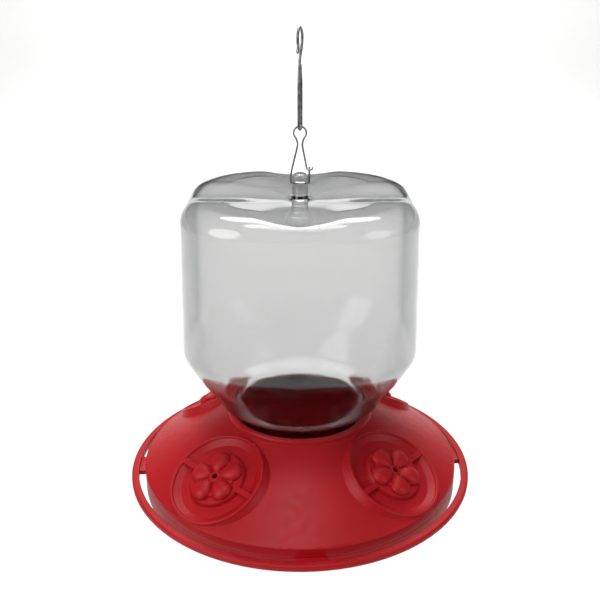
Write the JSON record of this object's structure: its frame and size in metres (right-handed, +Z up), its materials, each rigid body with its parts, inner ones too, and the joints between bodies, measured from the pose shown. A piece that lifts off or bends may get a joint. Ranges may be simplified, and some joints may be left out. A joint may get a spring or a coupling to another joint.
{
  "type": "hanging nectar feeder",
  "caption": "Hanging nectar feeder: a clear jar held upside down in a red base with a perch ring and flower-shaped feeding ports, on a wire bail and hook.",
  "frame": {"origin": "centre of the tray's underside, on the feeder's upright axis", "axes": "+Z up along the jar; X along the bail's pin; -Y towards the side seen from the front"},
  "size_m": [0.196, 0.196, 0.252],
  "materials": {
    "hook_steel": "drawn wire, satin",
    "bail_steel": "drawn wire, bright",
    "clear_plastic": "clear, glossy",
    "seal_rubber": "matt",
    "red_plastic": "moulded, semi-gloss"
  },
  "bodies": {
    "hook": {"hanging_hook": "hook_steel"},
    "bail": {"bail_clip": "bail_steel"},
    "jar": {"jar": "clear_plastic"},
    "seal": {"neck_seal": "seal_rubber"},
    "deck": {"deck": "red_plastic"},
    "tray": {"tray_with_perch": "red_plastic"},
    "flower_front_left": {"flower_front_left": "red_plastic"},
    "flower_front_right": {"flower_front_right": "red_plastic"},
    "flower_rear_right": {"flower_rear_right": "red_plastic"},
    "flower_rear_left": {"flower_rear_left": "red_plastic"}
  },
  "joints": [
    {"name": "bail_swing", "type": "hinge", "parent": "hook", "child": "bail", "pos_m": [0, 0, 0.2023], "axis": [0, 1, 0], "range_deg": [-60, 60]},
    {"name": "jar_tilt", "type": "hinge", "parent": "bail", "child": "jar", "pos_m": [0, 0, 0.1748], "axis": [1, 0, 0], "range_deg": [-70, 70]},
    {"name": "seal_drop", "type": "slide", "parent": "jar", "child": "seal", "axis": [0, 0, -1], "range_m": [0, 0.0062]},
    {"name": "base_unscrew", "type": "hinge", "parent": "seal", "child": "deck", "pos_m": [0, 0, 0], "axis": [0, 0, -1], "range_deg": [0, 360]},
    {"name": "tray_twist", "type": "hinge", "parent": "deck", "child": "tray", "pos_m": [0, 0, 0], "axis": [0, 0, 1], "range_deg": [0, 20]},
    {"name": "flower_front_left_pull", "type": "slide", "parent": "deck", "child": "flower_front_left", "axis": [-0.3318, -0.3763, 0.8651], "range_m": [0, 0.012]},
    {"name": "flower_front_right_pull", "type": "slide", "parent": "deck", "child": "flower_front_right", "axis": [0.3763, -0.3318, 0.8651], "range_m": [0, 0.012]},
    {"name": "flower_rear_right_pull", "type": "slide", "parent": "deck", "child": "flower_rear_right", "axis": [0.3318, 0.3763, 0.8651], "range_m": [0, 0.012]},
    {"name": "flower_rear_left_pull", "type": "slide", "parent": "deck", "child": "flower_rear_left", "axis": [-0.3763, 0.3318, 0.8651], "range_m": [0, 0.012]}
  ],
  "couplings": [
    {"joint": "seal_drop", "follows": "base_unscrew", "m_per_rad": 0.00095493}
  ]
}
